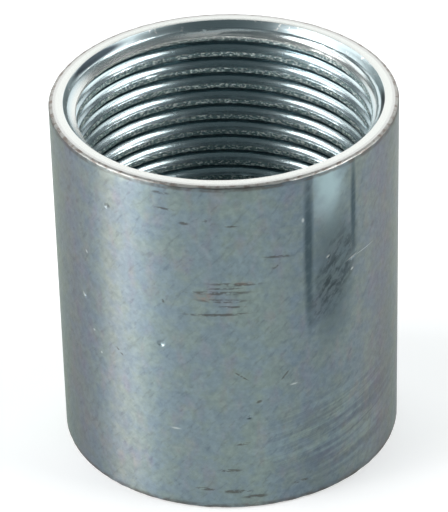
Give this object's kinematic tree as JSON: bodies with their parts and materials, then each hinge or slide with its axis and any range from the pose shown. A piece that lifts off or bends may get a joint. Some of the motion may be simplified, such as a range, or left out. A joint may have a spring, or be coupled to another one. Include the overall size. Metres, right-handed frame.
{
  "type": "conduit coupling",
  "caption": "Short straight steel sleeve with an internal thread from end to end, for joining two lengths of threaded conduit.",
  "frame": {"origin": "centre of the lower end face", "axes": "+Z along the bore axis, towards the upper end"},
  "size_m": [0.028, 0.028, 0.0305],
  "materials": {
    "zinc_plated_steel": "blue-grey electroplated zinc, satin, with handling scuffs"
  },
  "bodies": {
    "root": {"coupling": "zinc_plated_steel"}
  },
  "joints": []
}
